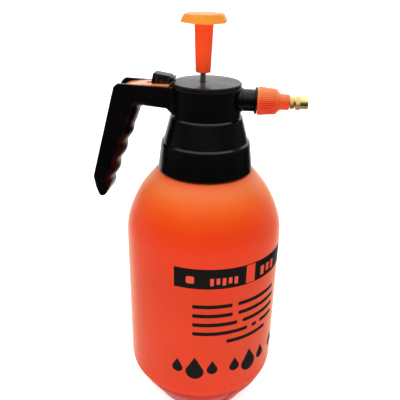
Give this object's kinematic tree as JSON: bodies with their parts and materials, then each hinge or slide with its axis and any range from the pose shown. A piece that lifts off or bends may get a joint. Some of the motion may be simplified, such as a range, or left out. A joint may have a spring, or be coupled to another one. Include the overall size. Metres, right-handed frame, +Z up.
{
  "type": "pump sprayer",
  "caption": "Hand-held compressed-air sprayer: orange bottle, black screw-on head with finger grip, thumb lever and lock, pull-up pump knob, ribbed nozzle collar and brass tip.",
  "frame": {"origin": "centre of the bottle's resting face", "axes": "+Z up along the bottle, +X along the nozzle away from the handle"},
  "size_m": [0.1557, 0.1196, 0.3148],
  "materials": {
    "orange_bottle": "semi-gloss",
    "black_rubber": "matte",
    "black_shell": "gloss",
    "black_grip": "satin",
    "orange_lever": "semi-gloss",
    "steel": "turned",
    "natural_plastic": "satin",
    "white_plastic": "satin",
    "orange_knob": "semi-gloss, slightly translucent",
    "orange_nut": "satin",
    "brass": "turned, bright"
  },
  "bodies": {
    "bottle": {"bottle": "orange_bottle"},
    "gasket": {"neck_gasket": "black_rubber"},
    "head": {"head_housing": "black_shell", "top_cover": "black_shell", "handle_frame": "black_grip", "lever_pin": "steel", "pump_cylinder": "natural_plastic", "rod_guide": "white_plastic", "cylinder_foot": "white_plastic", "check_cage": "white_plastic", "valve_body": "natural_plastic", "valve_gland": "white_plastic", "valve_spring": "steel", "outlet_tube": "natural_plastic", "dip_tube": "natural_plastic", "strainer": "white_plastic", "nozzle_seal": "black_rubber", "nozzle_nut": "orange_nut", "swirl_core": "white_plastic"},
    "plunger": {"piston": "natural_plastic", "piston_ring": "black_rubber", "piston_washer": "steel", "rod_collar": "steel", "rod_nut": "steel"},
    "pump_handle": {"pump_rod": "steel", "pump_knob": "orange_knob"},
    "lever": {"thumb_lever": "orange_lever"},
    "lock": {"lock_slider": "black_grip"},
    "valve": {"valve_stem": "white_plastic", "valve_seal": "black_rubber"},
    "flap": {"check_flap": "black_rubber"},
    "tip_seal": {"tip_oring": "black_rubber"},
    "tip": {"brass_tip": "brass"}
  },
  "joints": [
    {"name": "head_lift", "type": "slide", "parent": "bottle", "child": "gasket", "axis": [0, 0, 1], "range_m": [0, 0.22]},
    {"name": "head_turn", "type": "hinge", "parent": "gasket", "child": "head", "pos_m": [0, 0, 0.223], "axis": [0, 0, 1], "range_deg": [0, 540]},
    {"name": "pump_slide", "type": "slide", "parent": "head", "child": "plunger", "axis": [0, 0, 1], "range_m": [-0.006, 0.095]},
    {"name": "pump_turn", "type": "hinge", "parent": "plunger", "child": "pump_handle", "pos_m": [-0.003, 0, 0.138], "axis": [0, 0, 1], "continuous": true},
    {"name": "lever_press", "type": "hinge", "parent": "head", "child": "lever", "pos_m": [-0.03, 0, 0.259], "axis": [0, -1, 0], "range_deg": [0, 3.9], "stiffness_Nm_per_rad": 2, "springref_deg": -1.15},
    {"name": "lock_slide", "type": "slide", "parent": "lever", "child": "lock", "axis": [-1, 0, 0], "range_m": [0, 0.004]},
    {"name": "valve_lift", "type": "slide", "parent": "head", "child": "valve", "axis": [0, 0, 1], "range_m": [0, 0.0032], "deforming": ["valve_spring"]},
    {"name": "flap_open", "type": "slide", "parent": "head", "child": "flap", "axis": [0, 0, -1], "range_m": [0, 0.002], "stiffness_N_per_m": 20},
    {"name": "tip_travel", "type": "slide", "parent": "head", "child": "tip_seal", "axis": [1, 0, 0], "range_m": [0, 0.00101]},
    {"name": "tip_turn", "type": "hinge", "parent": "tip_seal", "child": "tip", "pos_m": [0.06, 0, 0.2564], "axis": [1, 0, 0], "range_deg": [0, 360]}
  ],
  "couplings": [
    {"joint": "valve_lift", "follows": "lever_press", "m_per_rad": 0.0465},
    {"joint": "tip_travel", "follows": "tip_turn", "m_per_rad": 0.00015915}
  ]
}
